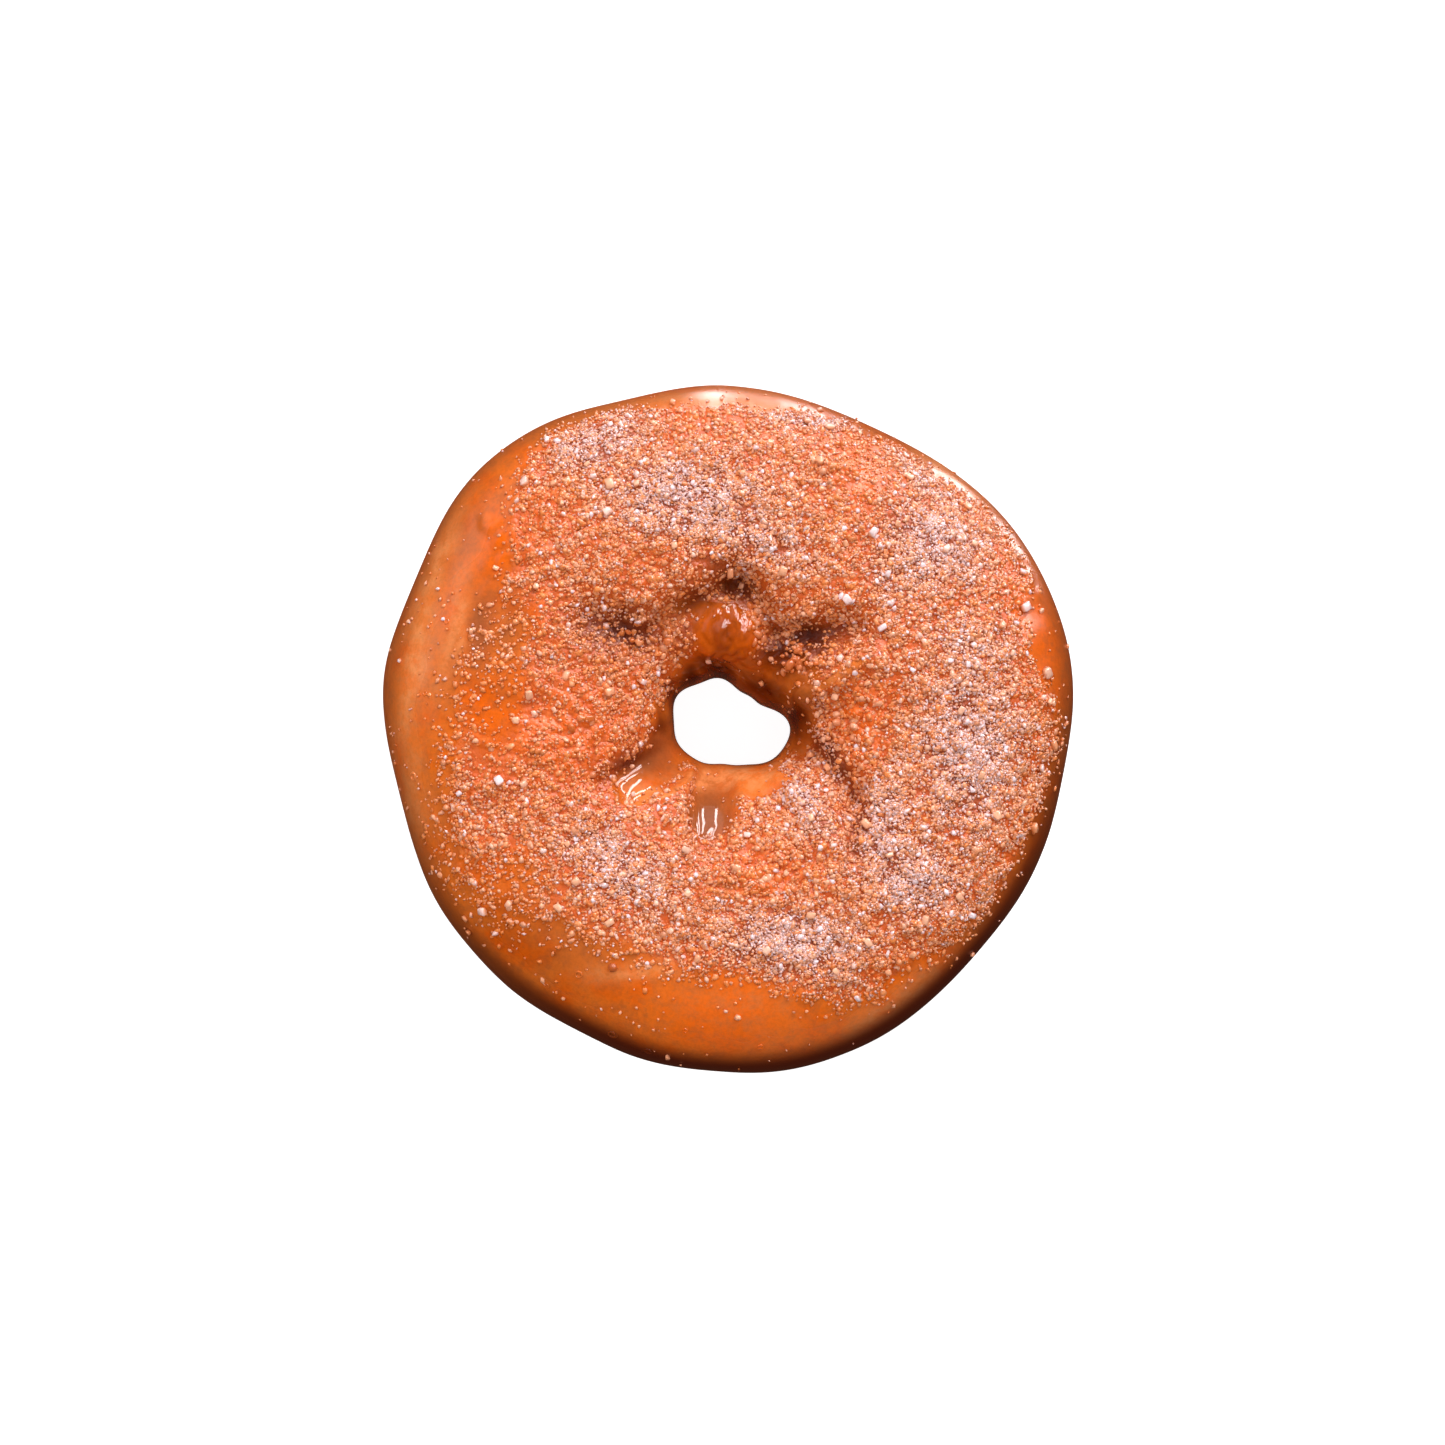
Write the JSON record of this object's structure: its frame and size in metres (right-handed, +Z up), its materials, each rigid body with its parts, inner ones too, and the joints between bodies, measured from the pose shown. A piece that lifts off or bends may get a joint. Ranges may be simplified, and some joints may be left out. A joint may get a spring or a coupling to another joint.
{
  "type": "sugared ring doughnut",
  "caption": "Raised pumpkin doughnut ring under an orange glaze, its puckered top and small uneven hole crusted with coarse sugar crystals.",
  "frame": {"origin": "on the face that the doughnut rests on, under the middle of its outline", "axes": "+Z up out of the sugared side, +Y towards the side that is uppermost when it is seen from above"},
  "size_m": [0.0903, 0.0899, 0.0304],
  "materials": {
    "glazed_dough": "fried dough under a wet, clear orange glaze",
    "sugar": "coarse sugar crystals, partly soaked with the glaze"
  },
  "bodies": {
    "root": {"doughnut": "glazed_dough"}
  },
  "joints": []
}
